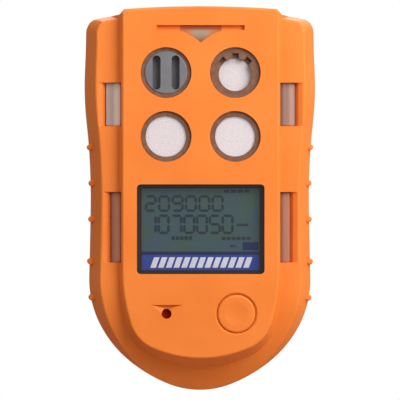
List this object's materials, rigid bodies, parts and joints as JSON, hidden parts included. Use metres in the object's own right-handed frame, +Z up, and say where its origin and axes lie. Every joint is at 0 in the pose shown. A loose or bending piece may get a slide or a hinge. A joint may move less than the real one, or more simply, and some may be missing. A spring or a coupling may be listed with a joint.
{
  "type": "portable gas detector",
  "caption": "Hand-sized shield-shaped gas detector with a raised front plate, round sensor openings, display, push button, alarm windows and a crocodile clip at the back.",
  "frame": {"origin": "the middle of a strap held in the clip, between the clip lever and the clip base", "axes": "+Z up to the top of the detector, -Y out of its front, +X to the right as the front is seen"},
  "size_m": [0.081, 0.0493, 0.135],
  "materials": {
    "battery_film": "shrink film",
    "board_green": "solder mask",
    "brass": "machined",
    "button_orange": "soft satin",
    "cap_grey": "fine satin",
    "clear_lens": "polished, faintly tinted",
    "component_black": "smooth",
    "contact_gold": "plated",
    "filter_white": "porous membrane",
    "flex_film": "amber film",
    "frame_plastic": "smooth",
    "gasket_rubber": "matte",
    "housing_orange": "fine satin moulded texture",
    "label_film": "printed film, blank",
    "lcd_glass": "reflective, grey green",
    "led_body": "clear moulded",
    "printed_mask": "printed on film",
    "seal_rubber": "matte",
    "sensor_grey": "smooth",
    "steel": "brushed",
    "white_plastic": "smooth",
    "wire_red": "insulation"
  },
  "bodies": {
    "housing": {"alarm_leds": "led_body", "backlight_guide": "white_plastic", "battery_cell": "battery_film", "battery_leads": "wire_red", "battery_plug": "frame_plastic", "battery_tray": "frame_plastic", "board_components": "component_black", "board_link": "flex_film", "board_screws": "steel", "carbon_monoxide_sensor": "sensor_grey", "case_screws": "steel", "charging_contacts": "contact_gold", "clip_base": "steel", "clip_pin": "steel", "clip_screws": "steel", "clip_spring": "steel", "contact_block": "frame_plastic", "display_mask": "printed_mask", "display_window": "clear_lens", "flammable_sensor": "sensor_grey", "flammable_sensor_cap": "cap_grey", "front_cover": "housing_orange", "hydrogen_sulphide_sensor": "sensor_grey", "lcd_connectors": "frame_plastic", "lcd_frame": "frame_plastic", "lcd_glass": "lcd_glass", "left_alarm_lens": "clear_lens", "main_board": "board_green", "motor_bracket": "steel", "oxygen_sensor": "sensor_grey", "perimeter_seal": "seal_rubber", "rating_label": "label_film", "rear_cover": "housing_orange", "right_alarm_lens": "clear_lens", "sensor_board": "board_green", "sensor_carrier": "frame_plastic", "sensor_filters": "filter_white", "sensor_gaskets": "gasket_rubber", "sensor_sockets": "brass", "sounder": "frame_plastic", "sounder_gasket": "gasket_rubber", "sounder_mesh": "steel", "status_led": "led_body", "status_lens": "clear_lens", "switch_body": "frame_plastic", "threaded_inserts": "brass", "vibration_motor": "steel"},
    "button": {"operator_button": "button_orange"},
    "plunger": {"switch_plunger": "component_black"},
    "clip_jaw": {"clip_lever": "steel"},
    "weight": {"vibration_weight": "steel"}
  },
  "joints": [
    {"name": "button_press", "type": "slide", "parent": "housing", "child": "button", "axis": [0, 1, 0], "range_m": [0, 0.0007], "stiffness_N_per_m": 1500, "springref_m": -0.0008},
    {"name": "plunger_press", "type": "slide", "parent": "housing", "child": "plunger", "axis": [0, 1, 0], "range_m": [0, 0.0007]},
    {"name": "clip_open", "type": "hinge", "parent": "housing", "child": "clip_jaw", "pos_m": [0, 0.0004, 0.018], "axis": [1, 0, 0], "range_deg": [0, 25], "stiffness_Nm_per_rad": 0.25, "springref_deg": -45.84, "deforming": ["clip_spring"]},
    {"name": "weight_spin", "type": "hinge", "parent": "housing", "child": "weight", "pos_m": [0.0321, -0.0232, -0.028], "axis": [1, 0, 0], "continuous": true}
  ],
  "couplings": [
    {"joint": "plunger_press", "follows": "button_press", "ratio": 1}
  ]
}
